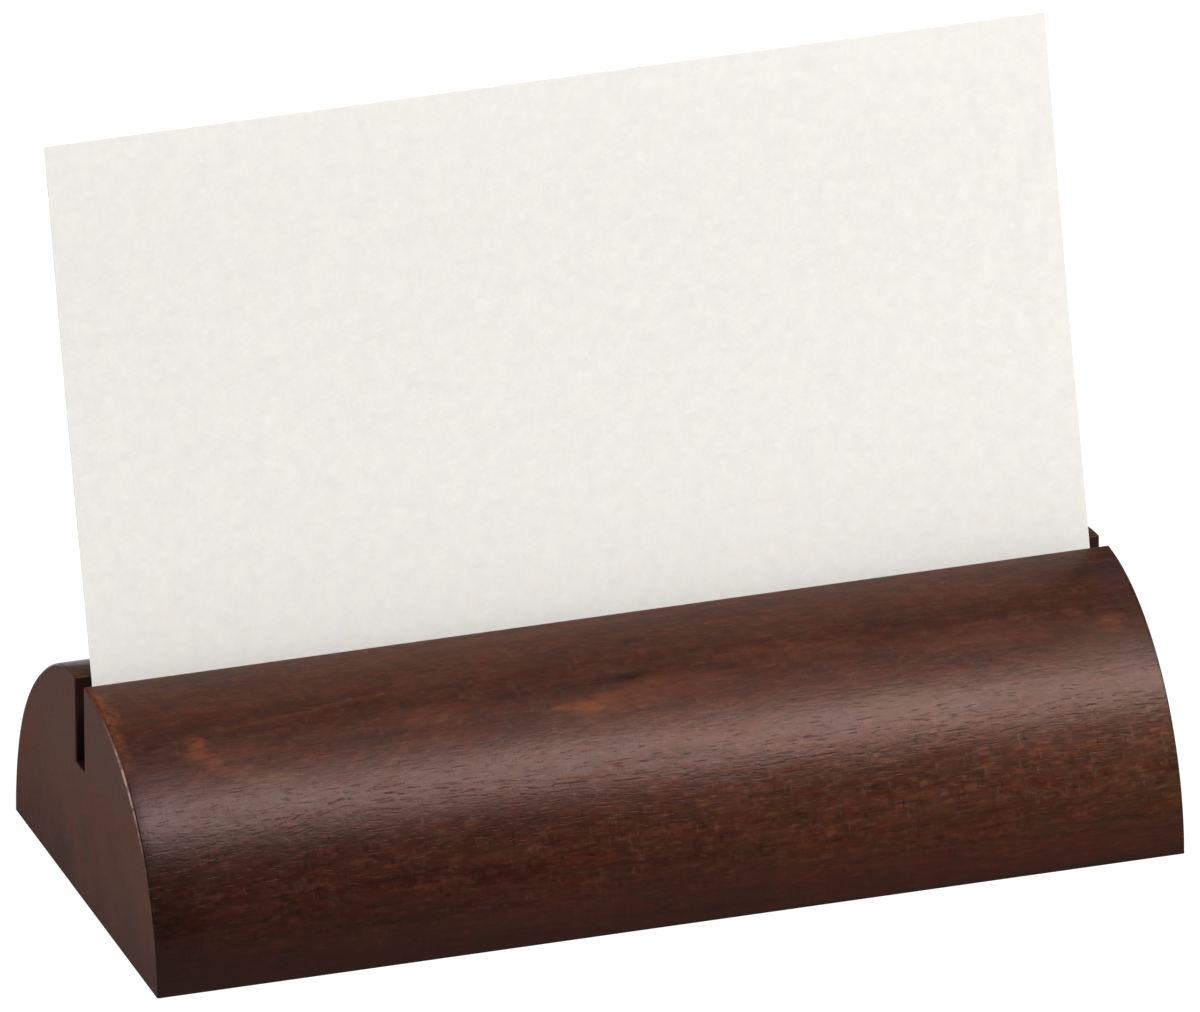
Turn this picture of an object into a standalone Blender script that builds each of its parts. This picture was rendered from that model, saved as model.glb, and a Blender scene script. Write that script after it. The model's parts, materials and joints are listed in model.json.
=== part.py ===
"""A small wooden sign holder: half of a round bar with a saw slot, and the card that stands in it.

Metres, +Z up. The origin is the middle of the block's underside. +X runs along the slot, and the card
leans back towards +Y, its foot against the slot's front wall and its back on the slot's rear edge.
"""
import math

import bmesh
import bpy
from mathutils import Matrix, Vector

# Card: a standard business card, blank
CARD_WIDTH = 0.0900
CARD_HEIGHT = 0.0540
CARD_THICKNESS = 0.0003
CARD_COLOUR = (0.847, 0.823, 0.776, 1.0)
CARD_ROUGHNESS = 0.85

# Wooden block: half of a round bar, lying on its sawn face
ROUND_RADIUS = 0.0204
END_MARGIN = 0.00125
EDGE_ROUND = 0.0004
WOOD_COLOUR = (0.065, 0.022, 0.013, 1.0)
WOOD_ROUGHNESS = 0.42

# Slot: one straight saw cut, open at both ends, its front wall on the middle plane of the block
SLOT_WIDTH = 0.0025
SLOT_DEPTH = 0.0080

# Clearance between the card and each of the three places where it touches the slot
CARD_GAP = 0.0001

# The card stands this far to the right of the block's middle
CARD_ASIDE = 0.0002

# Fineness of the round faces
ROUND_SEGMENTS = 96
EDGE_SEGMENTS = 3
SHARP_ANGLE = math.radians(30)

# Sizes that follow from the ones above
BASE_LENGTH = CARD_WIDTH + 2 * END_MARGIN
SLOT_FLOOR = ROUND_RADIUS - SLOT_DEPTH
REAR_EDGE_HEIGHT = math.sqrt(ROUND_RADIUS ** 2 - SLOT_WIDTH ** 2) - EDGE_ROUND


def card_lean():
    """Angle from upright at which the card fills the slot from the front foot to the rear edge."""
    run = SLOT_WIDTH - CARD_GAP
    rise = REAR_EDGE_HEIGHT - SLOT_FLOOR - CARD_GAP
    span = math.hypot(run, rise)
    return math.acos((CARD_THICKNESS + CARD_GAP) / span) - math.atan2(rise, run)


def clear_scene():
    """Remove every object, so that the part is the only thing in the scene."""
    for leftover in list(bpy.data.objects):
        bpy.data.objects.remove(leftover, do_unlink=True)


def new_collection(name):
    """Return a new collection linked to the scene."""
    collection = bpy.data.collections.new(name)
    bpy.context.scene.collection.children.link(collection)
    return collection


def new_material(name, colour, roughness):
    """Return a plain non-metallic surface."""
    material = bpy.data.materials.new(name)
    material.use_nodes = True
    shader = material.node_tree.nodes["Principled BSDF"]
    shader.inputs["Base Color"].default_value = colour
    shader.inputs["Roughness"].default_value = roughness
    shader.inputs["Metallic"].default_value = 0.0
    material.diffuse_color = colour
    return material


def new_object(name, shape, collection):
    """Turn a bmesh into a named object of a collection and free the bmesh."""
    mesh = bpy.data.meshes.new(name)
    bmesh.ops.recalc_face_normals(shape, faces=shape.faces)
    shape.to_mesh(mesh)
    shape.free()
    piece = bpy.data.objects.new(name, mesh)
    collection.objects.link(piece)
    return piece


def box(low, high):
    """Return a bmesh box between two corners."""
    low = Vector(low)
    high = Vector(high)
    shape = bmesh.new()
    bmesh.ops.create_cube(shape, size=1.0)
    bmesh.ops.scale(shape, vec=high - low, verts=shape.verts)
    bmesh.ops.translate(shape, vec=(low + high) / 2, verts=shape.verts)
    return shape


def half_round():
    """Return a bmesh of half a round bar along X, standing on the plane z = 0."""
    shape = bmesh.new()
    bmesh.ops.create_cone(
        shape,
        cap_ends=True,
        segments=ROUND_SEGMENTS,
        radius1=ROUND_RADIUS,
        radius2=ROUND_RADIUS,
        depth=BASE_LENGTH,
        matrix=Matrix.Rotation(math.radians(90), 4, "Y"),
    )
    everything = list(shape.verts) + list(shape.edges) + list(shape.faces)
    cut = bmesh.ops.bisect_plane(
        shape,
        geom=everything,
        dist=EDGE_ROUND / 100,
        plane_co=(0, 0, 0),
        plane_no=(0, 0, -1),
        clear_outer=True,
    )
    rim = [item for item in cut["geom_cut"] if isinstance(item, bmesh.types.BMEdge)]
    bmesh.ops.holes_fill(shape, edges=rim)
    return shape


def cut_with(piece, cutter):
    """Take the cutter's volume out of a piece for good."""
    boolean = piece.modifiers.new("slot", "BOOLEAN")
    boolean.operation = "DIFFERENCE"
    boolean.solver = "EXACT"
    boolean.object = cutter
    depsgraph = bpy.context.evaluated_depsgraph_get()
    uncut = piece.data
    piece.data = bpy.data.meshes.new_from_object(piece.evaluated_get(depsgraph))
    piece.modifiers.remove(boolean)
    bpy.data.meshes.remove(uncut)
    piece.data.name = piece.name


def round_outer_edges(piece):
    """Ease every outward edge by a sanded radius. The inner corners of the slot stay as sawn."""
    shape = bmesh.new()
    shape.from_mesh(piece.data)
    outward = []
    for edge in shape.edges:
        if edge.is_convex and edge.calc_face_angle() > SHARP_ANGLE:
            outward.append(edge)
    bmesh.ops.bevel(
        shape,
        geom=outward,
        offset=EDGE_ROUND,
        offset_type="OFFSET",
        segments=EDGE_SEGMENTS,
        profile=0.5,
        affect="EDGES",
        clamp_overlap=True,
    )
    shape.to_mesh(piece.data)
    shape.free()


def finish(piece, material):
    """Give a piece its surface, smooth on its round faces."""
    piece.data.materials.clear()
    piece.data.materials.append(material)
    piece.data.shade_smooth()
    piece.data.set_sharp_from_angle(angle=SHARP_ANGLE)


def make_base(collection, cutters):
    """The block: half a round bar, slotted along its top, with eased edges."""
    base = new_object("wood_base", half_round(), collection)
    past_end = BASE_LENGTH / 2 + SLOT_WIDTH
    slot = new_object(
        "slot_cutter",
        box((-past_end, 0, SLOT_FLOOR), (past_end, SLOT_WIDTH, ROUND_RADIUS + SLOT_WIDTH)),
        cutters,
    )
    slot.hide_render = True
    slot.display_type = "WIRE"
    cut_with(base, slot)
    round_outer_edges(base)
    finish(base, new_material("dark_stained_wood", WOOD_COLOUR, WOOD_ROUGHNESS))
    return base


def make_card(collection):
    """The card. Its origin is the middle of its front foot edge, and it lifts out along its own Z."""
    lean = card_lean()
    card = new_object(
        "sign_card",
        box((-CARD_WIDTH / 2, 0, 0), (CARD_WIDTH / 2, CARD_THICKNESS, CARD_HEIGHT)),
        collection,
    )
    foot_height = SLOT_FLOOR + CARD_GAP + CARD_THICKNESS * math.sin(lean)
    card.location = (CARD_ASIDE, CARD_GAP, foot_height)
    card.rotation_euler = (-lean, 0, 0)
    finish(card, new_material("off_white_card", CARD_COLOUR, CARD_ROUGHNESS))
    return card


def main():
    """Build the holder."""
    clear_scene()
    parts = new_collection("wooden_sign_holder")
    cutters = new_collection("wooden_sign_holder_cutters")
    base = make_base(parts, cutters)
    card = make_card(parts)
    card.parent = base


main()
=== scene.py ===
"""The looks of a small wooden sign holder: a half-round block of dark stained wood with a blank card."""
import json
import math
from types import SimpleNamespace
from typing import NamedTuple

import bmesh
import bpy
from mathutils import Matrix, Vector, noise


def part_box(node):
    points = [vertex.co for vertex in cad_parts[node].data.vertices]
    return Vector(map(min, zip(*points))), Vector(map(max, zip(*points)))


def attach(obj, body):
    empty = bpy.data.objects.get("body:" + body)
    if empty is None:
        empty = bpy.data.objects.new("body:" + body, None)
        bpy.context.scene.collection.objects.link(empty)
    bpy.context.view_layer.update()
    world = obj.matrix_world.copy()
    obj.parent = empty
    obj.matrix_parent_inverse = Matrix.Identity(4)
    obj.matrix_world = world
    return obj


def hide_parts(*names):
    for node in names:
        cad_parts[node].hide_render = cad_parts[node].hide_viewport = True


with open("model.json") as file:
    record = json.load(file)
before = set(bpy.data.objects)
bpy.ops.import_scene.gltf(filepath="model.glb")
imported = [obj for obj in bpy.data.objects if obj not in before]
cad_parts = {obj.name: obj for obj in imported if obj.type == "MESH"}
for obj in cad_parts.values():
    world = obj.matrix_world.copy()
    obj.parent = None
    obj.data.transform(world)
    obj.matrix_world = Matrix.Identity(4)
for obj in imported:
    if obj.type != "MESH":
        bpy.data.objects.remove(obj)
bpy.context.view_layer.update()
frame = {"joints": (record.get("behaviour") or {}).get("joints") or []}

MM = 0.001

# Block: its outer sizes come from the frame, the rest repeats the sizes of the solid
_, BASE_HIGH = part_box("wood_base")
HALF_LENGTH = BASE_HIGH.x
ROUND_RADIUS = BASE_HIGH.y
SLOT_WIDTH = 2.5 * MM
SLOT_DEPTH = 8.0 * MM
SLOT_FLOOR = ROUND_RADIUS - SLOT_DEPTH
LIP_ROUND = 0.15 * MM
FOOT_ROUND = 0.06 * MM
END_ROUND = 0.14 * MM

# Card: its sizes follow from its box and from the direction in which it lifts out
CARD_LOW, CARD_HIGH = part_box("sign_card")
LIFT = next(joint for joint in frame["joints"] if joint["name"] == "card_lift")
CARD_LEAN = math.atan2(LIFT["axis"][1], LIFT["axis"][2])
CARD_DEPTH = CARD_HIGH.y - CARD_LOW.y
CARD_RISE = CARD_HIGH.z - CARD_LOW.z
CARD_SIDES = (CARD_RISE * math.cos(CARD_LEAN) - CARD_DEPTH * math.sin(CARD_LEAN),
              CARD_DEPTH * math.cos(CARD_LEAN) - CARD_RISE * math.sin(CARD_LEAN))
CARD_HEIGHT, CARD_THICKNESS = (side / math.cos(2 * CARD_LEAN) for side in CARD_SIDES)
CARD_HALF_WIDTH = (CARD_HIGH.x - CARD_LOW.x) / 2
CARD_MIDDLE = (CARD_HIGH.x + CARD_LOW.x) / 2
CARD_FOOT = Vector((CARD_MIDDLE, CARD_LOW.y, CARD_LOW.z + CARD_THICKNESS * math.sin(CARD_LEAN)))

# Card: the straight stretch above its foot, and how far it bows backwards above that
CARD_STRAIGHT = 8.5 * MM
CARD_BOW = 0.26 * MM

# Fineness of the meshes
ARC_STEP = 0.45 * MM
WALL_STEP = 1.0 * MM
LENGTH_STEP = 1.0 * MM
ROUND_STEPS = 6
CARD_STEP = 1.0 * MM
SHARP_ANGLE = math.radians(40)

# Hand-sanded unevenness of the block's faces, and of the arrises at its ends as a share of their rounding
SANDING_DEPTH = 0.035 * MM
SANDING_LENGTH = 14 * MM
ARRIS_UNEVENNESS = 0.3
ARRIS_LENGTH = 3 * MM

# The arris of the left end is worn rounder: angle up from the front, reach of angle, and how much rounder
WORN_STRETCHES = ((80, 10, 3.2), (54, 36, 1.5), (123, 28, 3.0))

# The rear is a little fuller than a true round: angle of the crest behind the top, its reaches and height
FULL_ANGLE = math.radians(24)
FULL_REACH_UP = math.radians(19)
FULL_REACH_DOWN = math.radians(66)
FULL_HEIGHT = 0.40 * MM

# Length at each end that holds the rounding with its worn stretches
END_REACH = 1.12 * MM

# The flat of each end starts this little beyond the rounding, as a share of it
RIM_SHARE = 1.05

# Turn of a ring just before the right end's rounding. It keeps the shading of the faces straight up to
# there, while the left end, which is worn, has none and looks softer over its last millimetre
HOLD_TURN = -0.2

# Camera: a long lens, seen from the left and from above, with its distance and reach in metres
VIEW_LEFT = math.radians(17.872)
VIEW_DOWN = math.radians(24.213)
VIEW_ROLL = math.radians(-0.327)
VIEW_DISTANCE = 3.2978
VIEW_ASIDE = 0.0587 * MM
VIEW_ABOVE = 28.02 * MM
VIEW_REACH = 100.0
LENS = 1150.0
SENSOR = 36.0


def soft_hump(off_middle):
    """A smooth hump: 1 in its middle, down to 0 at 1 off its middle and beyond."""
    return max(0.0, 1 - off_middle ** 2) ** 2


def uneven(place):
    """Smooth noise at a place, from 0 to 1."""
    return 0.5 + 0.5 * noise.noise(place)


def circle_points(centre, radius, start, end, steps):
    """Points and outward normals along a round stretch of an outline, both ends included."""
    stretch = []
    for step in range(steps + 1):
        angle = start + (end - start) * step / steps
        normal = Vector((math.cos(angle), math.sin(angle)))
        stretch.append((centre + radius * normal, normal))
    return stretch


def line_points(start, end, normal, size):
    """Points and outward normals along a straight stretch of an outline, both ends left out."""
    steps = max(2, round((end - start).length / size))
    return [(start.lerp(end, step / steps), normal) for step in range(1, steps)]


def angle_of(vector):
    """Direction of a two-dimensional vector."""
    return math.atan2(vector.y, vector.x)


def block_outline():
    """Outline of the block's section in Y and Z: rows of point, outward normal and name of the stretch.

    It runs up the front from the foot, through the slot, down the rear and back along the sole.
    """
    foot_y = math.sqrt((ROUND_RADIUS - FOOT_ROUND) ** 2 - FOOT_ROUND ** 2)
    rear_y = SLOT_WIDTH + LIP_ROUND
    front_foot = Vector((-foot_y, FOOT_ROUND))
    front_lip = Vector((-LIP_ROUND, math.sqrt((ROUND_RADIUS - LIP_ROUND) ** 2 - LIP_ROUND ** 2)))
    rear_lip = Vector((rear_y, math.sqrt((ROUND_RADIUS - LIP_ROUND) ** 2 - rear_y ** 2)))
    rear_foot = Vector((foot_y, FOOT_ROUND))
    origin = Vector((0, 0))
    quarter = math.pi / 2
    half = math.pi

    def arc(start, end):
        steps = round(abs(end - start) * ROUND_RADIUS / ARC_STEP)
        return circle_points(origin, ROUND_RADIUS, start, end, steps)[1:-1]

    def fuller(stretch):
        grown = []
        for point, normal in stretch:
            off_crest = math.atan2(point.x, point.y) - FULL_ANGLE
            off_crest /= FULL_REACH_DOWN if off_crest > 0 else FULL_REACH_UP
            grown.append((point + normal * FULL_HEIGHT * soft_hump(off_crest), normal))
        return grown

    def ease(centre, radius, start, end):
        return circle_points(centre, radius, start, end, ROUND_STEPS)

    front_floor = Vector((0, SLOT_FLOOR))
    rear_floor = Vector((SLOT_WIDTH, SLOT_FLOOR))
    up = Vector((0, 1))
    back = Vector((1, 0))
    stretches = [
        ("edge", ease(front_foot, FOOT_ROUND, half + quarter, angle_of(front_foot))),
        ("face", arc(angle_of(front_foot), angle_of(front_lip))),
        ("lip", ease(front_lip, LIP_ROUND, angle_of(front_lip), 0)),
        ("slot", line_points(front_lip + LIP_ROUND * back, front_floor, back, WALL_STEP)),
        ("slot", [(front_floor, up + back)]),
        ("slot", line_points(front_floor, rear_floor, up, WALL_STEP)),
        ("slot", [(rear_floor, up - back)]),
        ("slot", line_points(rear_floor, rear_lip - LIP_ROUND * back, -back, WALL_STEP)),
        ("lip", ease(rear_lip, LIP_ROUND, half, angle_of(rear_lip))),
        ("face", fuller(arc(angle_of(rear_lip), angle_of(rear_foot)))),
        ("edge", ease(rear_foot, FOOT_ROUND, angle_of(rear_foot), -quarter)),
        ("sole", line_points(rear_foot - FOOT_ROUND * up, front_foot - FOOT_ROUND * up, -up, WALL_STEP)),
    ]
    return [(point, normal, name) for name, stretch in stretches for point, normal in stretch]


def sanded(point, normal, x, name):
    """A point of the block's surface, taken a little inwards where sanding took more off."""
    if name != "face":
        return point
    place = Vector((x, point.x, point.y)) / SANDING_LENGTH
    return point - normal * SANDING_DEPTH * uneven(place)


def end_rounding(point, side, name):
    """Radius of the eased arris at one end of the block, at a point of the outline."""
    place = Vector((side, point.x, point.y)) / ARRIS_LENGTH
    size = END_ROUND * (1 - ARRIS_UNEVENNESS * uneven(place))
    if name != "face" or side > 0:
        return size
    worn = 0.0
    for angle, reach, share in WORN_STRETCHES:
        off_middle = (math.degrees(math.atan2(point.y, -point.x)) - angle) / reach
        worn += share * soft_hump(off_middle)
    return size * (1 + worn)


def make_block():
    """The block as a loft of its section along X, with eased ends and marks for edges, ends and slot."""
    outline = block_outline()
    shape = bmesh.new()
    arris_mark = shape.verts.layers.float.new("arris")
    end_mark = shape.verts.layers.float.new("end_grain")
    slot_mark = shape.verts.layers.float.new("in_slot")

    def section(plain_x):
        """A ring of points across the block, away from its ends."""
        ring = []
        for point, normal, name in outline:
            spot = sanded(point, normal.normalized(), plain_x, name)
            vert = shape.verts.new((plain_x, spot.x, spot.y))
            vert[arris_mark] = float(name in ("edge", "lip"))
            vert[slot_mark] = abs(normal.x) if name == "lip" else float(name == "slot")
            ring.append(vert)
        return ring

    def end_section(side, turn, inset_share):
        """A ring of points on the eased arris of one end, turned from the faces (0) to the flat (1)."""
        ring = section(side * HALF_LENGTH)
        for vert, (point, normal, name) in zip(ring, outline):
            size = end_rounding(point, side, name)
            inset = normal * size * inset_share
            vert.co.x = side * (HALF_LENGTH - size * (1 - math.sin(turn * math.pi / 2)))
            vert.co.y -= inset.x
            vert.co.z -= inset.y
            vert[end_mark] = max(0.0, turn)
            if inset_share > 1:
                vert[arris_mark] = 0.0
                vert[slot_mark] = 0.0
            else:
                vert[arris_mark] = max(vert[arris_mark], math.sin(turn * math.pi))
        return ring

    turns = [step / ROUND_STEPS for step in range(ROUND_STEPS + 1)]
    rounded = [(turn, 1 - math.cos(turn * math.pi / 2)) for turn in turns] + [(1.0, RIM_SHARE)]
    inner_half = HALF_LENGTH - END_REACH
    steps = round(2 * inner_half / LENGTH_STEP)
    rings = [end_section(-1, turn, inset) for turn, inset in reversed(rounded)]
    rings += [section(inner_half * (2 * step / steps - 1)) for step in range(steps + 1)]
    rings += [end_section(1, turn, inset) for turn, inset in [(HOLD_TURN, 0.0)] + rounded]

    count = len(outline)
    for first, second in zip(rings, rings[1:]):
        for index in range(count):
            following = (index + 1) % count
            shape.faces.new((first[index], first[following], second[following], second[index]))
    caps = [shape.faces.new(rings[0]), shape.faces.new(rings[-1])]
    return piece_from(shape, "sanded_block", caps)


def piece_from(shape, name, flat_faces=()):
    """Turn a bmesh into an object of the scene, smooth but for its flat faces and sharp corners."""
    bmesh.ops.recalc_face_normals(shape, faces=shape.faces)
    for face in shape.faces:
        face.smooth = face not in flat_faces
    mesh = bpy.data.meshes.new(name)
    shape.to_mesh(mesh)
    shape.free()
    mesh.set_sharp_from_angle(angle=SHARP_ANGLE)
    piece = bpy.data.objects.new(name, mesh)
    bpy.context.scene.collection.objects.link(piece)
    return piece


def card_bow(height):
    """How far the card is bent backwards at a height: not at all in its straight stretch or at its top."""
    share = max(0.0, (height - CARD_STRAIGHT) / (CARD_HEIGHT - CARD_STRAIGHT))
    return CARD_BOW * (4 * share * (1 - share)) ** 2


def make_card():
    """The card as a thin sheet, straight in the slot and slightly bowed above it."""
    columns = round(2 * CARD_HALF_WIDTH / CARD_STEP)
    rows = round(CARD_HEIGHT / CARD_STEP)
    shape = bmesh.new()

    def grid(depth):
        lines = []
        for row in range(rows + 1):
            height = CARD_HEIGHT * row / rows
            line = []
            for column in range(columns + 1):
                x = CARD_HALF_WIDTH * (2 * column / columns - 1)
                line.append(shape.verts.new((x, depth + card_bow(height), height)))
            lines.append(line)
        return lines

    front = grid(0)
    back = grid(CARD_THICKNESS)
    for row in range(rows):
        for column in range(columns):
            for lines in (front, back):
                low = lines[row]
                high = lines[row + 1]
                shape.faces.new((low[column], low[column + 1], high[column + 1], high[column]))
    rims = []
    for lines in (front, back):
        left = [line[0] for line in lines]
        right = [line[-1] for line in lines]
        rims.append(lines[0] + right[1:] + lines[-1][-2::-1] + left[-2:0:-1])
    count = len(rims[0])
    for index in range(count):
        following = (index + 1) % count
        shape.faces.new((rims[0][index], rims[0][following], rims[1][following], rims[1][index]))
    piece = piece_from(shape, "paper_card")
    piece.matrix_world = Matrix.Translation(CARD_FOOT) @ Matrix.Rotation(-CARD_LEAN, 4, "X")
    return piece


class Grain(NamedTuple):
    """A cloudy noise: its grains to a unit of place along each axis, and the detail in them."""

    scale: tuple
    detail: float = 2.0
    roughness: float = 0.5


class Graph:
    """The nodes of one material. A socket takes another node's output or a plain value."""

    def __init__(self, name):
        self.material = bpy.data.materials.new(name)
        self.material.use_nodes = True
        self.tree = self.material.node_tree
        self.tree.nodes.clear()

    def node(self, kind, inputs=None, **settings):
        """Add a node, set its options and fill its sockets by name or number."""
        node = self.tree.nodes.new(kind)
        for name, setting in settings.items():
            setattr(node, name, setting)
        for socket, value in (inputs or {}).items():
            if isinstance(value, bpy.types.NodeSocket):
                self.tree.links.new(value, node.inputs[socket])
            else:
                node.inputs[socket].default_value = value
        return node

    def millimetres(self):
        """Places in the piece's own frame, in millimetres."""
        metres = self.node("ShaderNodeTexCoord").outputs["Object"]
        return self.vector("MULTIPLY", metres, (1 / MM, 1 / MM, 1 / MM))

    def mark(self, name):
        """A number that the mesh carries at its points."""
        return self.node("ShaderNodeAttribute", attribute_name=name).outputs["Fac"]

    def math(self, operation, first, second=0.0):
        """One operation on two numbers."""
        return self.node("ShaderNodeMath", {0: first, 1: second}, operation=operation).outputs[0]

    def total(self, *terms):
        """Several numbers added."""
        result = terms[0]
        for term in terms[1:]:
            result = self.math("ADD", result, term)
        return result

    def product(self, *factors):
        """Several numbers multiplied."""
        result = factors[0]
        for factor in factors[1:]:
            result = self.math("MULTIPLY", result, factor)
        return result

    def vector(self, operation, first, second):
        """One operation on two vectors."""
        return self.node("ShaderNodeVectorMath", {0: first, 1: second}, operation=operation).outputs[0]

    def length(self, vector):
        """The length of a vector."""
        return self.node("ShaderNodeVectorMath", {0: vector}, operation="LENGTH").outputs["Value"]

    def combine(self, x=0.0, y=0.0, z=0.0):
        """A vector from three numbers."""
        return self.node("ShaderNodeCombineXYZ", {0: x, 1: y, 2: z}).outputs[0]

    def turned(self, place, degrees, axis):
        """A place turned about an axis of its frame."""
        inputs = {"Vector": place, "Angle": math.radians(degrees)}
        return self.node("ShaderNodeVectorRotate", inputs, rotation_type=axis + "_AXIS").outputs[0]

    def step(self, value, span):
        """A soft step from 0 at the start of a span to 1 at its end."""
        inputs = {"Value": value, "From Min": span[0], "From Max": span[1]}
        return self.node("ShaderNodeMapRange", inputs, interpolation_type="SMOOTHSTEP").outputs[0]

    def spread(self, value, span):
        """A number from 0 to 1 spread over a span."""
        inputs = {"Value": value, "To Min": span[0], "To Max": span[1]}
        return self.node("ShaderNodeMapRange", inputs).outputs[0]

    def path(self, value, points):
        """The height of a broken line through points, at a place along it."""
        height = points[0][1]
        for (low, low_height), (high, high_height) in zip(points, points[1:]):
            climb = high_height - low_height
            inputs = {"Value": value, "From Min": low, "From Max": high, "To Max": climb}
            height = self.math("ADD", height, self.node("ShaderNodeMapRange", inputs).outputs[0])
        return height

    def noise(self, place, grain):
        """Cloudy noise at a place."""
        scaled = self.vector("MULTIPLY", place, grain.scale)
        inputs = {"Vector": scaled, "Scale": 1.0, "Detail": grain.detail, "Roughness": grain.roughness}
        return self.node("ShaderNodeTexNoise", inputs).outputs["Fac"]

    def mix(self, share, first, second, blend="MIX"):
        """One colour laid over another."""
        inputs = {0: share, 6: first, 7: second}
        node = self.node("ShaderNodeMix", inputs, data_type="RGBA", blend_type=blend)
        return node.outputs[2]

    def shaded(self, colour, factor):
        """A colour made lighter or darker by a factor."""
        grey = self.node("ShaderNodeCombineColor", {0: factor, 1: factor, 2: factor}).outputs[0]
        return self.mix(1.0, colour, grey, "MULTIPLY")

    def bump(self, relief, height):
        """Normals of a surface with a relief, and with the height that a relief of 1 stands for."""
        inputs = {"Height": relief, "Strength": 1.0, "Distance": height}
        return self.node("ShaderNodeBump", inputs).outputs[0]

    def finish(self, shader):
        """Use a shader as the surface."""
        self.node("ShaderNodeOutputMaterial", {"Surface": shader})
        return self.material


# In the materials below, places are in millimetres and angles in degrees up the round, 0 at the foot of
# the front and 90 at its top. A step's span goes from where something starts to where it is full

# Wood: colours of the stain on its fibres and marks, its light ticks that are partly painted glints, its
# ends, its slot darkened partly with painted shade, its worn places with a line that is partly a painted
# glint, and painted tints of its highlight
STAIN_LIGHT = (0.060, 0.0190, 0.0108, 1)
STAIN_MIDDLE = (0.046, 0.0136, 0.0074, 1)
STAIN_DARK = (0.031, 0.0088, 0.0050, 1)
STAIN_FLECK = (0.096, 0.0300, 0.0160, 1)
STAIN_TICK_AND_GLINT = (0.088, 0.0420, 0.0295, 1)
STAIN_FIGURE = (0.138, 0.0370, 0.0138, 1)
STAIN_PORE = (0.014, 0.0045, 0.0032, 1)
STAIN_END_TOP = (0.068, 0.0350, 0.0272, 1)
STAIN_END = (0.071, 0.0300, 0.0213, 1)
STAIN_END_LOW = (0.038, 0.0175, 0.0136, 1)
SLOT_STAIN_AND_SHADE = (0.020, 0.0075, 0.0060, 1)
STAIN_RUBBED_AND_GLINT = (0.400, 0.2480, 0.2120, 1)
PAINTED_VIOLET_SHEEN = (0.052, 0.0280, 0.0480, 1)
PAINTED_CREAM_SHEEN = (0.085, 0.0520, 0.0220, 1)

# Wood: casts that the stain takes in patches, from left to right, along the top and at the foot
CAST_RED = (1.15, 0.87, 0.80, 1)
CAST_OLIVE = (0.92, 1.06, 0.98, 1)
CAST_LEFT = (1.04, 0.94, 0.94, 1)
CAST_RIGHT = (0.97, 1.06, 1.00, 1)
CAST_TOP = (1.08, 0.96, 0.66, 1)
CAST_FOOT = (1.06, 0.66, 0.44, 1)

# Wood: the wander of its fibres, the span of its lower front, and the span along the whole block
WANDER = Grain((0.035, 0.06, 0.06))
WANDER_REACH = (-0.6, 0.6)
LOWER_ANGLES = (60.0, 36.0)
WHOLE_LENGTH = (-50.0, 50.0)


def on_round(x, angle):
    """A point on the round of the block, from its place along X and its angle up the front."""
    turn = math.radians(angle)
    radius = ROUND_RADIUS / MM
    return (x, -radius * math.cos(turn), radius * math.sin(turn))


def wood_place(graph):
    """Places and angles on the wood, and its fibres, which wander as they run along X."""
    spot = graph.millimetres()
    x, y, z = graph.node("ShaderNodeSeparateXYZ", {0: spot}).outputs
    angle = graph.math("DEGREES", graph.math("ARCTAN2", z, graph.product(y, -1.0)))
    wander = graph.spread(graph.noise(spot, WANDER), WANDER_REACH)
    return SimpleNamespace(
        spot=spot,
        x=x,
        y=y,
        z=z,
        angle=angle,
        wander=wander,
        fibre=graph.vector("ADD", spot, graph.combine(y=wander, z=wander)),
        unrolled=graph.combine(x, angle),
        low=graph.step(angle, LOWER_ANGLES),
    )


# Wood: long streaks and fine threads of its fibres, and their shares in its tone
STREAKS = Grain((0.035, 0.9, 0.9), 4, 0.6)
STREAK_SHARE = 0.75
THREADS = Grain((0.14, 4.5, 4.5), 3, 0.6)
THREAD_SHARE = 0.35

# Wood: growth rings about a pith below and behind the block
PITH = (0, 20.0, -34.6)
RING_WIDTH = 1.6
RING_TILT = 0.039
RING_START = 0.55
RING_SHARE = 0.10

# Wood: tones over which the dark stain turns into the middle one, and that into the light one
MIDDLE_TONES = (0.28, 0.50)
LIGHT_TONES = (0.48, 0.78)


def stained_fibres(graph, wood):
    """The stain on the fibres and the growth rings."""
    streaks = graph.noise(wood.fibre, STREAKS)
    wood.threads = graph.noise(wood.fibre, THREADS)
    from_pith = graph.vector("MULTIPLY", graph.vector("SUBTRACT", wood.fibre, PITH), (0, 1, 1))
    climb = graph.total(graph.length(from_pith), graph.product(wood.x, RING_TILT))
    ring = graph.math("FRACT", graph.total(graph.math("DIVIDE", climb, RING_WIDTH), RING_START))
    tone = graph.total(graph.product(streaks, STREAK_SHARE), graph.product(wood.threads, THREAD_SHARE))
    tone = graph.math("SUBTRACT", tone, graph.product(ring, RING_SHARE))
    colour = graph.mix(graph.step(tone, MIDDLE_TONES), STAIN_DARK, STAIN_MIDDLE)
    return graph.mix(graph.step(tone, LIGHT_TONES), colour, STAIN_LIGHT)


# Wood: patches with a cast
CASTS = Grain((0.28, 0.8, 0.8), 3, 0.6)
RED_CASTS = (0.50, 0.64)
OLIVE_CASTS = (0.50, 0.36)

# Wood: bunches of flecks and ticks, fainter on the upper front and close to the floor
BUNCHES = Grain((0.40, 0.14, 1.0))
BUNCH_LEVELS = (0.30, 0.66)
BUNCH_SHARES = (0.40, 1.0)
UPPER_SHARES = (0.60, 1.0)
FLOOR_ANGLES = (2.0, 22.0)
FLOOR_SHARES = (0.45, 1.0)

# Wood: short flecks along the fibres
FLECKS = Grain((0.85, 2.4, 2.4), 1)
LIGHT_FLECKS = (0.50, 0.74)
DARK_FLECKS = (0.50, 0.26)
FLECK_STRENGTH = 0.65
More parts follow.
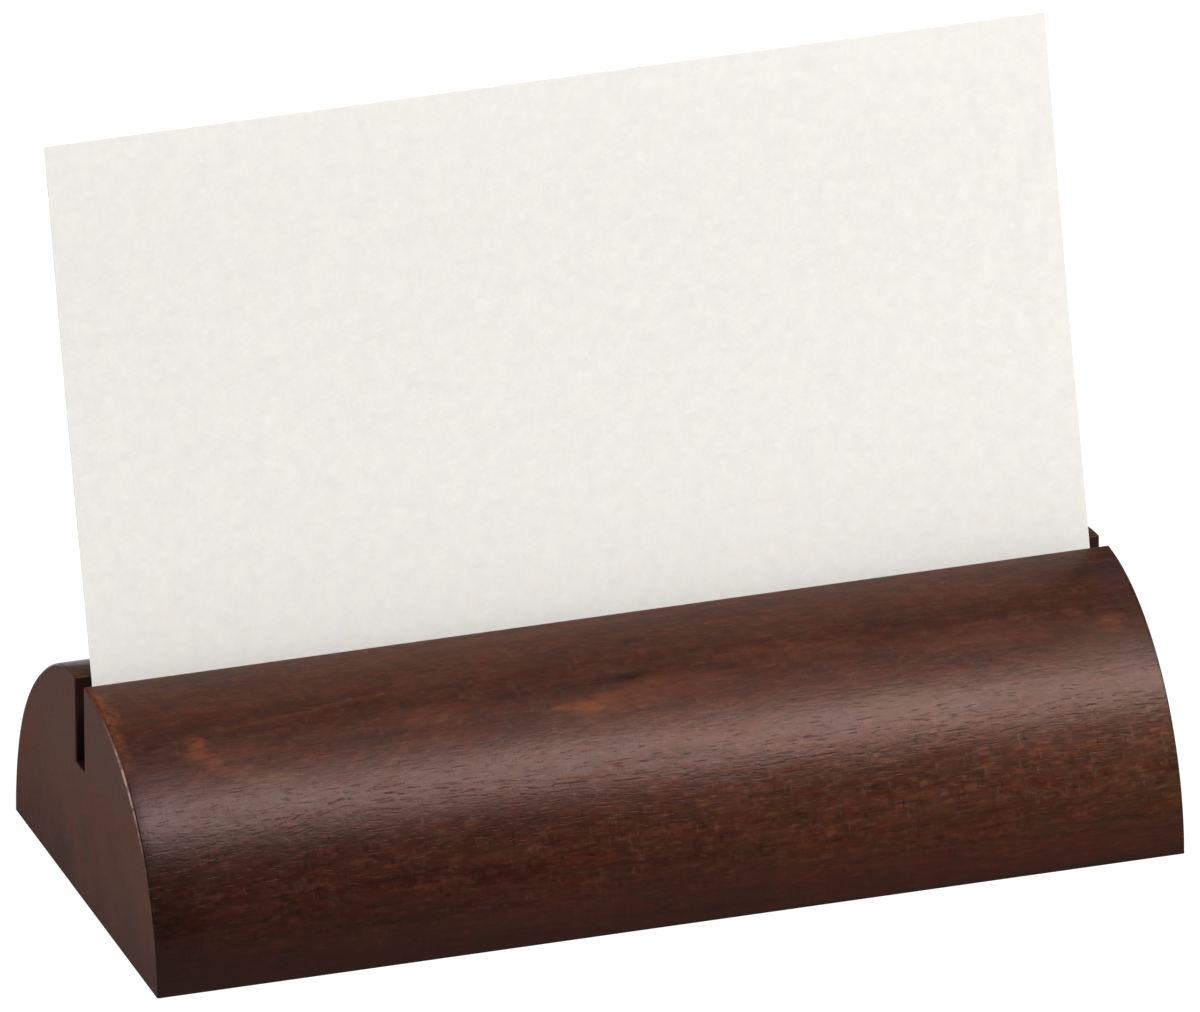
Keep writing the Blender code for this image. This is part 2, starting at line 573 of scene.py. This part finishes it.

# Wood: ticks along and across the fibres, on the unrolled front; the light ticks are partly painted glints
# on the edges of pores
TICKS = (Grain((0.55, 1.05, 1.0), 1), Grain((2.6, 0.28, 1.0), 1))
LIGHT_TICK_AND_GLINT_LEVELS = (0.58, 0.78)
DARK_TICKS = (0.42, 0.22)
LIGHT_TICK_AND_GLINT_STRENGTH = 0.50
DARK_TICK_STRENGTH = 0.75


def flecked(graph, wood, colour):
    """Patches of a red and an olive cast, short flecks, and ticks along and across the fibres, the light
    ones partly painted glints.
    """
    cast = graph.noise(wood.fibre, CASTS)
    colour = graph.mix(graph.step(cast, RED_CASTS), colour, CAST_RED, "MULTIPLY")
    colour = graph.mix(graph.step(cast, OLIVE_CASTS), colour, CAST_OLIVE, "MULTIPLY")
    bunches = graph.step(graph.noise(wood.unrolled, BUNCHES), BUNCH_LEVELS)
    share = graph.product(
        graph.spread(wood.low, UPPER_SHARES),
        graph.spread(bunches, BUNCH_SHARES),
        graph.spread(graph.step(wood.angle, FLOOR_ANGLES), FLOOR_SHARES),
    )

    wood.flecks = graph.noise(wood.fibre, FLECKS)
    strength = graph.product(share, FLECK_STRENGTH)
    light = graph.product(graph.step(wood.flecks, LIGHT_FLECKS), strength)
    dark = graph.product(graph.step(wood.flecks, DARK_FLECKS), strength)
    colour = graph.mix(light, colour, STAIN_FLECK)
    colour = graph.mix(dark, colour, STAIN_DARK)

    wood.ticks = 0.0
    for grain in TICKS:
        marks = graph.noise(wood.unrolled, grain)
        light = graph.product(graph.step(marks, LIGHT_TICK_AND_GLINT_LEVELS), share)
        dark = graph.product(graph.step(marks, DARK_TICKS), share)
        # The light ticks are partly painted glints on the edges of pores
        colour = graph.mix(graph.product(light, LIGHT_TICK_AND_GLINT_STRENGTH), colour, STAIN_TICK_AND_GLINT)
        colour = graph.mix(graph.product(dark, DARK_TICK_STRENGTH), colour, STAIN_PORE)
        wood.ticks = graph.total(wood.ticks, graph.math("SUBTRACT", light, dark))
    return colour


# Wood: where it is more olive at the right end, yellower along the top, and darker and redder above the
# floor, the last partly painted shade
RIGHT_END = (34.0, 47.0)
RIGHT_END_STRENGTH = 0.8
TOP_ANGLES = (66.0, 80.0)
FOOT_HEIGHTS = (6.5, 0.5)


def cast_over(graph, wood, colour):
    """The slow change of hue over the block: redder at the left, browner at the right, and darker and
    redder at the foot, partly painted shade.
    """
    across = graph.mix(graph.step(wood.x, WHOLE_LENGTH), CAST_LEFT, CAST_RIGHT)
    colour = graph.mix(wood.low, colour, across, "MULTIPLY")
    right_end = graph.product(graph.step(wood.x, RIGHT_END), RIGHT_END_STRENGTH)
    colour = graph.mix(right_end, colour, CAST_OLIVE, "MULTIPLY")
    colour = graph.mix(graph.step(wood.angle, TOP_ANGLES), colour, CAST_TOP, "MULTIPLY")
    return graph.mix(graph.step(wood.z, FOOT_HEIGHTS), colour, CAST_FOOT, "MULTIPLY")


# Wood: clouds and smaller patches in the depth of its stain, the patches deeper on the upper front
CLOUDS = Grain((0.14, 0.42, 0.42), 3, 0.55)
CLOUD_SHADES = (0.64, 1.36)
PATCHES = Grain((0.60, 0.95, 0.95))
PATCH_DEPTHS = (0.80, 0.58)

# Wood: how much lighter its lower front gets from left to right, its painted shade close to the floor, and
# its shades up the front
ACROSS_SHADES = (-0.36, 0.38)
SHADOW_HEIGHTS = (-2.0, 8.5)
SHADOW_SHADES = (0.36, 1.0)
UPPER_ANGLES = (52.0, 68.0)
UPPER_SHADES = (1.0, 0.79)
LIP_ANGLES = (78.0, 88.0)
LIP_SHADES = (1.0, 1.06)


def deepened(graph, wood, colour):
    """A cloudy depth of stain, the lower front darker at its left, and painted shade close to the floor.
    """
    wood.clouds = graph.noise(wood.fibre, CLOUDS)
    wood.patches = graph.noise(wood.fibre, PATCHES)
    patch_depth = graph.spread(wood.low, PATCH_DEPTHS)
    patches = graph.total(1.0, graph.product(graph.math("SUBTRACT", wood.patches, 0.5), patch_depth))
    across = graph.spread(graph.step(wood.x, WHOLE_LENGTH), ACROSS_SHADES)
    shade = graph.product(
        graph.spread(wood.clouds, CLOUD_SHADES),
        patches,
        graph.total(1.0, graph.product(wood.low, across)),
        graph.spread(graph.step(wood.z, SHADOW_HEIGHTS), SHADOW_SHADES),
        graph.spread(graph.step(wood.angle, UPPER_ANGLES), UPPER_SHADES),
        graph.spread(graph.step(wood.angle, LIP_ANGLES), LIP_SHADES),
    )
    return graph.shaded(colour, shade)


# Wood: light figure on the front as place along X, angle up the round, half length, half height, strength
FIGURES = (
    (-39.3, 62.0, 0.8, 1.0, 0.68),
    (-39.0, 59.4, 1.1, 0.7, 0.64),
    (-38.2, 56.6, 0.9, 0.7, 0.45),
    (-36.6, 53.2, 1.4, 0.6, 0.34),
    (-34.0, 50.6, 2.2, 0.6, 0.28),
    (-19.0, 61.0, 3.5, 1.4, 0.20),
    (-6.3, 58.2, 1.3, 0.35, 0.75),
    (-4.4, 57.6, 1.8, 0.75, 0.85),
    (-2.2, 58.4, 1.8, 1.05, 0.52),
    (0.2, 60.4, 1.7, 1.05, 0.38),
    (1.9, 62.0, 1.5, 0.90, 0.35),
    (0.4, 57.4, 2.4, 0.70, 0.36),
    (2.8, 59.4, 2.2, 0.90, 0.25),
    (6.0, 60.0, 4.0, 1.30, 0.24),
    (15.0, 66.0, 6.0, 1.6, 0.20),
    (30.0, 62.0, 7.0, 1.6, 0.20),
    (43.2, 61.0, 1.2, 1.0, 0.42),
)

# Wood: worn places on the left arris of the front, in the same order
WORN_PLACES = (
    (-46.1, 82.0, 1.3, 1.6, 0.72),
    (-46.1, 75.0, 1.2, 1.9, 0.85),
    (-46.0, 67.5, 0.9, 2.1, 0.70),
    (-46.0, 60.0, 0.6, 1.6, 0.45),
)

# Wood: deeper stain on the front, and painted shade at its upper right corner and beside its left arris,
# in the same order
DEEP_STAIN_AND_SHADE_PLACES = (
    (-0.3, 64.6, 2.6, 0.60, 0.54),
    (-43.5, 58.0, 2.6, 2.6, 0.22),
    (-47.0, 18.0, 6.0, 11.0, 0.45),
    # painted shade at the upper right of the front
    (43.5, 85.0, 7.0, 4.0, 0.28),
    # painted shade beside the left arris, here and in the next place
    (-46.2, 41.0, 0.8, 2.8, 0.55),
    (-46.2, 50.0, 1.8, 2.6, 0.35),
)

# Wood: painted violet and cream tints of the highlight and its sheen, in the same order
PAINTED_VIOLET_SHEEN_PLACES = (
    (-43.6, 46.5, 4.6, 3.0, 0.26),
    (-46.0, 59.0, 1.6, 2.4, 0.10),
    (17.0, 44.5, 2.2, 1.4, 0.16),
    (45.0, 51.0, 2.4, 2.4, 0.20),
    (45.0, 77.0, 2.4, 3.0, 0.18),
)
PAINTED_CREAM_SHEEN_PLACES = (
    (-33.5, 50.0, 3.0, 0.9, 0.25),
    (-9.0, 47.5, 4.0, 1.0, 0.12),
    (22.5, 47.5, 4.0, 1.1, 0.32),
    (41.5, 54.0, 3.5, 1.8, 0.25),
)

# Wood: soft edge of these places, in half sizes from their middle
PLACE_EDGE = (1.50, 0.20)

# Wood: ragged tongues along the fibres, which pull these places out, and the flecks in the light figure
TONGUES = Grain((0.45, 1.8, 1.8), 3, 0.65)
TONGUE_REACH = (-1.5, 1.5)
FIGURE_SHARES = (0.35, 1.45)

# Wood: a light growth line on the upper front, from and to a place along X and an angle up the round
LINE_START = (-38.0, 65.3)
LINE_END = (-11.5, 72.9)
LINE_EDGE = (1.3, 0.0)
LINE_APPEARS = (-39.0, -34.0)
LINE_FADES = (-10.5, -23.5)
LINE_SWAY = 0.5
LINE_STRENGTH = 0.16

# Wood: ragged outline of the worn places, and the spots in them
MOTTLE = Grain((1.5, 1.5, 1.5), 4, 0.7)
MOTTLE_REACH = (-1.5, 1.5)
WORN_SPOTS = Grain((2.2, 2.2, 2.2), 3, 0.6)
WORN_SPOT_LEVELS = (0.38, 0.62)
WORN_SPOT_SHARES = (0.30, 1.0)


def places_share(graph, spot, places):
    """The largest share that a spot has in several soft ellipses on the round, up to their strengths."""
    share = 0.0
    for x, angle, half_length, half_height, strength in places:
        apart = graph.vector("SUBTRACT", spot, on_round(x, angle))
        apart = graph.vector("DIVIDE", apart, (half_length, half_height, half_height))
        inside = graph.product(graph.step(graph.length(apart), PLACE_EDGE), strength)
        share = graph.math("MAXIMUM", share, inside)
    return share


def line_share(graph, wood, tongues):
    """The light growth line, which climbs to the right and sways with the tongues."""
    slope = (LINE_END[1] - LINE_START[1]) / (LINE_END[0] - LINE_START[0])
    rise = graph.product(graph.math("SUBTRACT", wood.x, LINE_START[0]), slope)
    apart = graph.math("SUBTRACT", graph.math("SUBTRACT", wood.angle, LINE_START[1]), rise)
    apart = graph.math("ABSOLUTE", graph.total(apart, graph.product(tongues, LINE_SWAY)))
    return graph.product(
        graph.step(apart, LINE_EDGE),
        graph.step(wood.x, LINE_APPEARS),
        graph.step(wood.x, LINE_FADES),
        LINE_STRENGTH,
    )


def figured(graph, wood, colour):
    """Light flame figure with ragged tongues, a light growth line, worn places, deeper stain with painted
    shade, and painted tints of the highlight.
    """
    tongues = graph.spread(graph.noise(wood.fibre, TONGUES), TONGUE_REACH)
    pulled = graph.vector("ADD", wood.spot, graph.combine(tongues))
    # Deeper stain, and painted shade at some of these places
    deep_stain_and_shade = places_share(graph, pulled, DEEP_STAIN_AND_SHADE_PLACES)
    colour = graph.shaded(colour, graph.math("SUBTRACT", 1.0, deep_stain_and_shade))
    figure = graph.math("MAXIMUM", places_share(graph, pulled, FIGURES), line_share(graph, wood, tongues))
    figure = graph.product(figure, graph.spread(wood.flecks, FIGURE_SHARES))

    mottle = graph.spread(graph.noise(wood.spot, MOTTLE), MOTTLE_REACH)
    shifted = graph.vector("ADD", wood.spot, graph.combine(mottle, mottle, mottle))
    spots = graph.step(graph.noise(wood.spot, WORN_SPOTS), WORN_SPOT_LEVELS)
    worn = graph.product(places_share(graph, shifted, WORN_PLACES), graph.spread(spots, WORN_SPOT_SHARES))
    colour = graph.mix(graph.math("MAXIMUM", figure, worn), colour, STAIN_FIGURE)
    # Painted cream and violet tints of the highlight and its sheen
    colour = graph.mix(places_share(graph, pulled, PAINTED_CREAM_SHEEN_PLACES), colour, PAINTED_CREAM_SHEEN)
    return graph.mix(places_share(graph, pulled, PAINTED_VIOLET_SHEEN_PLACES), colour, PAINTED_VIOLET_SHEEN)


# Wood: pores as fine dashes, stronger below the highlight
DASHES = Grain((0.75, 6.0, 6.0), 1, 0.4)
DASH_LEVELS = (0.62, 0.74)
DASH_ANGLES = (36.0, 46.0)
DASH_SHARES = (0.65, 0.40)
PORE_STRENGTH = 0.7

# Wood: the row of open vessels on the front as places along X and angles up the round
VESSEL_PATH = ((-44.0, 34.0), (-34.0, 38.0), (-28.0, 42.4), (-19.0, 41.2), (-11.0, 38.4), (-4.0, 37.3),
               (10.0, 36.5), (20.0, 37.8), (30.0, 38.0), (37.0, 40.6), (46.0, 39.2))
VESSEL_SWAY = 0.8

# Wood: this row and fainter ones beside it, as angle off the row and strength
VESSEL_ROWS = ((0.0, 0.85), (-1.7, 0.60), (1.6, 0.45), (4.6, 0.20), (-3.6, 0.45))

# Wood: each row's noise is taken this far along X for each degree that it lies off the first row
VESSEL_SHIFT = 10

# Wood: a row is made of straight vessels, each at a height of its own and broken along its length
VESSEL_LENGTH = 2.3
VESSEL_EDGE = (0.36, 0.0)
VESSEL_HEIGHTS = Grain((0.61, 1.0, 1.0), 1)
VESSEL_HEIGHT_REACH = (-1.6, 1.6)
VESSEL_BREAKS = Grain((0.45, 0.02, 1.0), 4, 0.7)
VESSEL_BREAK_LEVELS = (0.46, 0.60)


def pored(graph, wood, colour):
    """Pores as fine dark dashes along the fibres, and ragged rows of open vessels under the highlight."""
    crowd = graph.spread(graph.step(wood.angle, DASH_ANGLES), DASH_SHARES)
    pores = graph.product(graph.step(graph.noise(wood.fibre, DASHES), DASH_LEVELS), crowd)
    above_path = graph.math("SUBTRACT", wood.angle, graph.path(wood.x, VESSEL_PATH))
    above_path = graph.total(above_path, graph.product(wood.wander, VESSEL_SWAY))
    for row, strength in VESSEL_ROWS:
        shift = VESSEL_SHIFT * row
        vessel = graph.combine(graph.math("SNAP", graph.total(wood.x, shift), VESSEL_LENGTH))
        own_height = graph.spread(graph.noise(vessel, VESSEL_HEIGHTS), VESSEL_HEIGHT_REACH)
        apart = graph.math("ABSOLUTE", graph.math("SUBTRACT", graph.total(above_path, own_height), row))
        shifted = graph.vector("ADD", wood.unrolled, (shift, 0, 0))
        breaks = graph.step(graph.noise(shifted, VESSEL_BREAKS), VESSEL_BREAK_LEVELS)
        opened = graph.product(graph.step(apart, VESSEL_EDGE), breaks, strength)
        pores = graph.math("MAXIMUM", pores, opened)
    wood.pores = pores
    return graph.mix(graph.product(pores, PORE_STRENGTH), colour, STAIN_PORE)


# Wood: share of the rounding's turn over which the end grain starts, and the heights of its three colours
END_TURNS = (0.45, 0.9)
END_BLOTCHES = Grain((0.2, 0.2, 0.2), 3)
END_BLOTCH_REACH = (-7.0, 7.0)
END_HEIGHTS = (-3.0, 10.0)
END_TOP_HEIGHTS = (9.0, 17.0)

# Wood: leaning sanding scratches, pores and red patches in the end grain
SCRATCHES = Grain((1.0, 0.22, 3.6), 3, 0.6)
SCRATCH_LEAN = 22
SCRATCH_SHADES = (0.86, 1.14)
END_PORES = Grain((1.0, 5.0, 5.0), 1)
END_PORE_LEVELS = (0.62, 0.74)
END_PORE_DEPTH = 0.22
END_CASTS = Grain((0.22, 0.22, 0.22), 3, 0.6)
END_CAST_LEVELS = (0.46, 0.62)
END_CAST_STRENGTH = 0.5


def end_grained(graph, wood, colour):
    """End grain on both ends: greyer, with sanding scratches and pores, darker towards the floor."""
    wood.turn = graph.mark("end_grain")
    wood.end_share = graph.step(wood.turn, END_TURNS)
    blotches = graph.spread(graph.noise(wood.spot, END_BLOTCHES), END_BLOTCH_REACH)
    level = graph.total(wood.z, blotches)
    end_colour = graph.mix(graph.step(level, END_HEIGHTS), STAIN_END_LOW, STAIN_END)
    end_colour = graph.mix(graph.step(level, END_TOP_HEIGHTS), end_colour, STAIN_END_TOP)
    leaning = graph.turned(wood.spot, SCRATCH_LEAN, "X")
    scratches = graph.spread(graph.noise(leaning, SCRATCHES), SCRATCH_SHADES)
    pores = graph.step(graph.noise(wood.spot, END_PORES), END_PORE_LEVELS)
    shade = graph.math("SUBTRACT", scratches, graph.product(pores, END_PORE_DEPTH))
    casts = graph.step(graph.noise(wood.spot, END_CASTS), END_CAST_LEVELS)
    end_colour = graph.shaded(end_colour, shade)
    end_colour = graph.mix(graph.product(casts, END_CAST_STRENGTH), end_colour, CAST_RED, "MULTIPLY")
    return graph.mix(wood.end_share, colour, end_colour)


# Wood: darker arrises below the lips and along the last of the front at the right end, partly gathered
# stain and partly painted shade
ARRIS_LEVELS = (0.1, 0.7)
ARRIS_STAIN_AND_SHADE_HEIGHTS = (20.0, 19.4)
ARRIS_STAIN_AND_SHADE_STRENGTH = 0.55
LAST_RIGHT = (45.8, 46.1)
LAST_ANGLES = (34.0, 46.0)
LAST_TURNS = (0.9, 0.5)

# Wood: the light line on the left arris, partly rubbed wear and partly a painted glint: across its
# rounding, on the front only, and along its height
RUBBED_AND_GLINT = Grain((0.9, 0.9, 0.9), 3, 0.6)
RUBBED_AND_GLINT_LEVELS = (0.36, 0.56)
RUBBED_AND_GLINT_STRENGTHS = (0.3, 0.9)
RUBBED_AND_GLINT_TURNS = ((0.28, 0.50), (1.0, 0.78))
RUBBED_AND_GLINT_LEFT = (-45.0, -45.5)
RUBBED_AND_GLINT_FRONT = (0.0, -2.0)
RUBBED_AND_GLINT_ANGLES = ((24.0, 56.0), (80.0, 54.0))


def worn_edges(graph, wood, colour):
    """Arrises darkened by gathered stain and painted shade, and a thin light line on the left arris of the
    front, partly rubbed wear and partly a painted glint.
    """
    last_right = graph.product(
        graph.step(wood.x, LAST_RIGHT),
        graph.step(wood.angle, LAST_ANGLES),
        graph.step(wood.turn, LAST_TURNS),
    )
    arris_stain_and_shade = graph.math("MAXIMUM", graph.step(graph.mark("arris"), ARRIS_LEVELS), last_right)
    arris_stain_and_shade = graph.product(arris_stain_and_shade, graph.step(wood.z, ARRIS_STAIN_AND_SHADE_HEIGHTS), ARRIS_STAIN_AND_SHADE_STRENGTH)
    # The dark arrises are partly gathered stain and partly painted shade
    colour = graph.mix(arris_stain_and_shade, colour, STAIN_PORE)
    rubbed_and_glint = graph.spread(graph.step(graph.noise(wood.spot, RUBBED_AND_GLINT), RUBBED_AND_GLINT_LEVELS), RUBBED_AND_GLINT_STRENGTHS)
    for span in RUBBED_AND_GLINT_TURNS:
        rubbed_and_glint = graph.product(rubbed_and_glint, graph.step(wood.turn, span))
    rubbed_and_glint = graph.product(rubbed_and_glint, graph.step(wood.x, RUBBED_AND_GLINT_LEFT), graph.step(wood.y, RUBBED_AND_GLINT_FRONT))
    for span in RUBBED_AND_GLINT_ANGLES:
        rubbed_and_glint = graph.product(rubbed_and_glint, graph.step(wood.angle, span))
    # The light line on the arris is partly rubbed wear and partly a painted glint
    return graph.mix(rubbed_and_glint, colour, STAIN_RUBBED_AND_GLINT)


# Wood: roughness of the lacquer, what marks in the wood add to it, and the roughness of bare end grain
THREAD_ROUGHNESS = (0.26, 0.38)
PORE_ROUGHNESS = 0.2
PATCH_ROUGHNESS = (-0.045, 0.045)
CLOUD_ROUGHNESS = (-0.040, 0.040)
END_ROUGHNESS = 0.85

# Wood: gloss and tint of the lacquer
LACQUER_GLOSS = 0.175
LACQUER_TINT = (1.0, 0.70, 0.63, 1)

# Wood: shares of the marks in its relief, and the height of that relief
THREAD_RELIEF = 0.3
FLECK_RELIEF = 0.6
TICK_RELIEF = 0.25
PATCH_RELIEF = 1.6
PORE_RELIEF = 0.6
WOOD_RELIEF_HEIGHT = 0.017 * MM


def wood_roughness(graph, wood):
    """Satin lacquer, uneven over threads, patches and clouds, with rough pores and matt ends."""
    lacquer = graph.total(
        graph.spread(wood.threads, THREAD_ROUGHNESS),
        graph.product(wood.pores, PORE_ROUGHNESS),
        graph.spread(wood.patches, PATCH_ROUGHNESS),
        graph.spread(wood.clouds, CLOUD_ROUGHNESS),
    )
    return graph.spread(wood.end_share, (lacquer, END_ROUGHNESS))


def wood_relief(graph, wood):
    """Raised threads, flecks, ticks and patches, and sunken pores."""
    raised = graph.total(
        graph.product(wood.threads, THREAD_RELIEF),
        graph.product(wood.flecks, FLECK_RELIEF),
        graph.product(wood.ticks, TICK_RELIEF),
        graph.product(wood.patches, PATCH_RELIEF),
    )
    return graph.math("SUBTRACT", raised, graph.product(wood.pores, PORE_RELIEF))


def wood_material():
    """Dark stained wood under a satin lacquer."""
    graph = Graph("dark_stained_wood")
    wood = wood_place(graph)
    colour = stained_fibres(graph, wood)
    colour = flecked(graph, wood, colour)
    colour = cast_over(graph, wood, colour)
    colour = deepened(graph, wood, colour)
    colour = figured(graph, wood, colour)
    colour = pored(graph, wood, colour)
    colour = end_grained(graph, wood, colour)
    # The slot is darkened by deeper stain and by painted shade in the recess
    colour = graph.mix(graph.mark("in_slot"), colour, SLOT_STAIN_AND_SHADE)
    colour = worn_edges(graph, wood, colour)
    inputs = {
        "Base Color": colour,
        "Roughness": wood_roughness(graph, wood),
        "Specular IOR Level": LACQUER_GLOSS,
        "Specular Tint": LACQUER_TINT,
        "Normal": graph.bump(wood_relief(graph, wood), WOOD_RELIEF_HEIGHT),
    }
    return graph.finish(graph.node("ShaderNodeBsdfPrincipled", inputs).outputs[0])


# Paper: colours of an off-white stock
PAPER_WARM = (0.850, 0.826, 0.770, 1)
PAPER_COOL = (0.839, 0.810, 0.784, 1)
PAPER_SPECK = (0.900, 0.876, 0.822, 1)
PAPER_LIGHT_FIBRE = (0.915, 0.893, 0.860, 1)
PAPER_DARK_FIBRE = (0.740, 0.712, 0.675, 1)

# Paper: clouds of the warm and the cool colour, lighter and darker mottles, and pale specks
PAPER_CLOUDS = Grain((0.33, 0.33, 0.33), 4, 0.6)
PAPER_CLOUD_LEVELS = (0.38, 0.62)
PAPER_MOTTLES = Grain((0.75, 0.75, 0.75), 4, 0.65)
PAPER_MOTTLE_SHADES = (0.925, 1.075)
SPECKS = Grain((1.1, 1.1, 1.1), 2, 0.55)
SPECK_LEVELS = (0.58, 0.72)
SPECK_STRENGTH = 0.45

# Paper: curled fibres and their directions in the sheet, in degrees
FIBRES = Grain((1.1, 1.0, 7.0), 1)
FIBRE_TURNS = (14, 77, 131)
FIBRE_CURLS = Grain((0.9, 0.9, 0.9), 1)
FIBRE_CURL_REACH = (-0.8, 0.8)
LIGHT_FIBRES = (0.64, 0.76)
DARK_FIBRES = (0.35, 0.23)
LIGHT_FIBRE_STRENGTH = 0.45
DARK_FIBRE_STRENGTH = 0.20

# Paper: its fine relief, on which the light fibres stand, and its matt surface
PAPER_TOOTH = Grain((4.0, 4.0, 4.0), 3, 0.6)
FIBRE_RELIEF = 0.5
PAPER_RELIEF_HEIGHT = 0.006 * MM
PAPER_ROUGHNESS = (0.80, 0.92)
PAPER_GLOSS = 0.3


def paper_material():
    """Off-white card stock with a cloudy tone and short fibres pressed flat in all directions."""
    graph = Graph("off_white_card_stock")
    spot = graph.millimetres()
    clouds = graph.step(graph.noise(spot, PAPER_CLOUDS), PAPER_CLOUD_LEVELS)
    colour = graph.mix(clouds, PAPER_COOL, PAPER_WARM)
    colour = graph.shaded(colour, graph.spread(graph.noise(spot, PAPER_MOTTLES), PAPER_MOTTLE_SHADES))
    specks = graph.step(graph.noise(spot, SPECKS), SPECK_LEVELS)
    colour = graph.mix(graph.product(specks, SPECK_STRENGTH), colour, PAPER_SPECK)

    curl = graph.spread(graph.noise(spot, FIBRE_CURLS), FIBRE_CURL_REACH)
    curled = graph.vector("ADD", spot, graph.combine(x=curl, z=curl))
    relief = graph.noise(spot, PAPER_TOOTH)
    for turn in FIBRE_TURNS:
        fibres = graph.noise(graph.turned(curled, turn, "Y"), FIBRES)
        light = graph.step(fibres, LIGHT_FIBRES)
        dark = graph.step(fibres, DARK_FIBRES)
        colour = graph.mix(graph.product(light, LIGHT_FIBRE_STRENGTH), colour, PAPER_LIGHT_FIBRE)
        colour = graph.mix(graph.product(dark, DARK_FIBRE_STRENGTH), colour, PAPER_DARK_FIBRE)
        relief = graph.total(relief, graph.product(light, FIBRE_RELIEF))
    inputs = {
        "Base Color": colour,
        "Roughness": graph.spread(relief, PAPER_ROUGHNESS),
        "Specular IOR Level": PAPER_GLOSS,
        "Normal": graph.bump(relief, PAPER_RELIEF_HEIGHT),
    }
    return graph.finish(graph.node("ShaderNodeBsdfPrincipled", inputs).outputs[0])


# Floor: its size in metres, its colour, the darker one that is seen, and the glow that lifts it to white
FLOOR_SIZE = 6.0
FLOOR_COLOUR = (0.3, 0.3, 0.3, 1)
FLOOR_SEEN = (0.14, 0.14, 0.14, 1)
FLOOR_LIFT = 0.93


def floor_material():
    """A pale floor that reads as white to the eye and in reflections, and keeps the object's shadow."""
    graph = Graph("pale_floor")
    path = graph.node("ShaderNodeLightPath").outputs
    seen = graph.math("MAXIMUM", path["Is Camera Ray"], path["Is Glossy Ray"])
    seen = graph.math("MAXIMUM", seen, path["Is Transmission Ray"])
    colour = graph.mix(seen, FLOOR_COLOUR, FLOOR_SEEN)
    matt = graph.node("ShaderNodeBsdfDiffuse", {"Color": colour}).outputs[0]
    glow = graph.node("ShaderNodeEmission", {"Strength": graph.product(seen, FLOOR_LIFT)}).outputs[0]
    return graph.finish(graph.node("ShaderNodeAddShader", {0: matt, 1: glow}).outputs[0])


def make_floor():
    """A wide level floor under the object."""
    shape = bmesh.new()
    bmesh.ops.create_grid(shape, x_segments=1, y_segments=1, size=FLOOR_SIZE / 2)
    floor = piece_from(shape, "floor")
    floor.data.materials.append(floor_material())
    return floor


# Lamps: name, direction seen from the block, distance, width and height in metres, and radiance
LAMPS = (
    ("front_strip", (0.33, -0.455, 0.839), 1.0, 0.40, 0.33, 21.6),
    ("overhead", (0.28, -0.09, 0.955), 0.75, 0.40, 0.20, 2.2),
    ("left_high", (-0.6, 0.1, 0.79), 0.9, 0.5, 0.5, 3.8),
    ("left_low", (-1.0, 0.0, 0.09), 0.8, 0.4, 0.12, 16.0),
    ("right_side", (0.8, -0.55, 0.25), 0.6, 0.3, 0.3, 1.25),
    ("rear_fill", (0.8, 0.5, 0.33), 0.9, 0.4, 0.4, 8.0),
)
SURROUND_COLOUR = (0.165, 0.165, 0.165, 1)


def make_lamp(name, direction, distance, width, height, radiance):
    """A soft rectangular lamp that faces the object."""
    lamp = bpy.data.lights.new(name, "AREA")
    lamp.shape = "RECTANGLE"
    lamp.size = width
    lamp.size_y = height
    lamp.energy = radiance * math.pi * width * height
    direction = Vector(direction).normalized()
    facing = direction.to_track_quat("Z", "Y").to_matrix().to_4x4()
    lamp_object = bpy.data.objects.new(name, lamp)
    lamp_object.matrix_world = Matrix.Translation(direction * distance) @ facing
    bpy.context.scene.collection.objects.link(lamp_object)


def light_scene():
    """A long soft lamp over the front, softer ones overhead, beside and behind it, and a dim surround."""
    for lamp in LAMPS:
        make_lamp(*lamp)
    world = bpy.data.worlds.new("surround")
    world.use_nodes = True
    world.node_tree.nodes["Background"].inputs["Color"].default_value = SURROUND_COLOUR
    bpy.context.scene.world = world


def make_camera():
    """The camera, at the photograph's view."""
    right = Vector((math.cos(VIEW_LEFT), -math.sin(VIEW_LEFT), 0))
    back = Vector((
        -math.sin(VIEW_LEFT) * math.cos(VIEW_DOWN),
        -math.cos(VIEW_LEFT) * math.cos(VIEW_DOWN),
        math.sin(VIEW_DOWN),
    ))
    turned = Matrix((right, back.cross(right), back)).transposed() @ Matrix.Rotation(VIEW_ROLL, 3, "Z")
    camera = bpy.data.cameras.new("photo_view")
    camera.lens = LENS
    camera.sensor_width = SENSOR
    camera.sensor_fit = "HORIZONTAL"
    camera.clip_end = VIEW_REACH
    camera_object = bpy.data.objects.new("photo_view", camera)
    location = turned @ Vector((VIEW_ASIDE, VIEW_ABOVE, VIEW_DISTANCE))
    camera_object.matrix_world = Matrix.Translation(location) @ turned.to_4x4()
    bpy.context.scene.collection.objects.link(camera_object)
    bpy.context.scene.camera = camera_object


bpy.context.scene.view_settings.view_transform = "Standard"
make_camera()
light_scene()
make_floor()

block = make_block()
block.data.materials.append(wood_material())
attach(block, "base")
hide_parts("wood_base")

card = make_card()
card.data.materials.append(paper_material())
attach(card, "card")
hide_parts("sign_card")
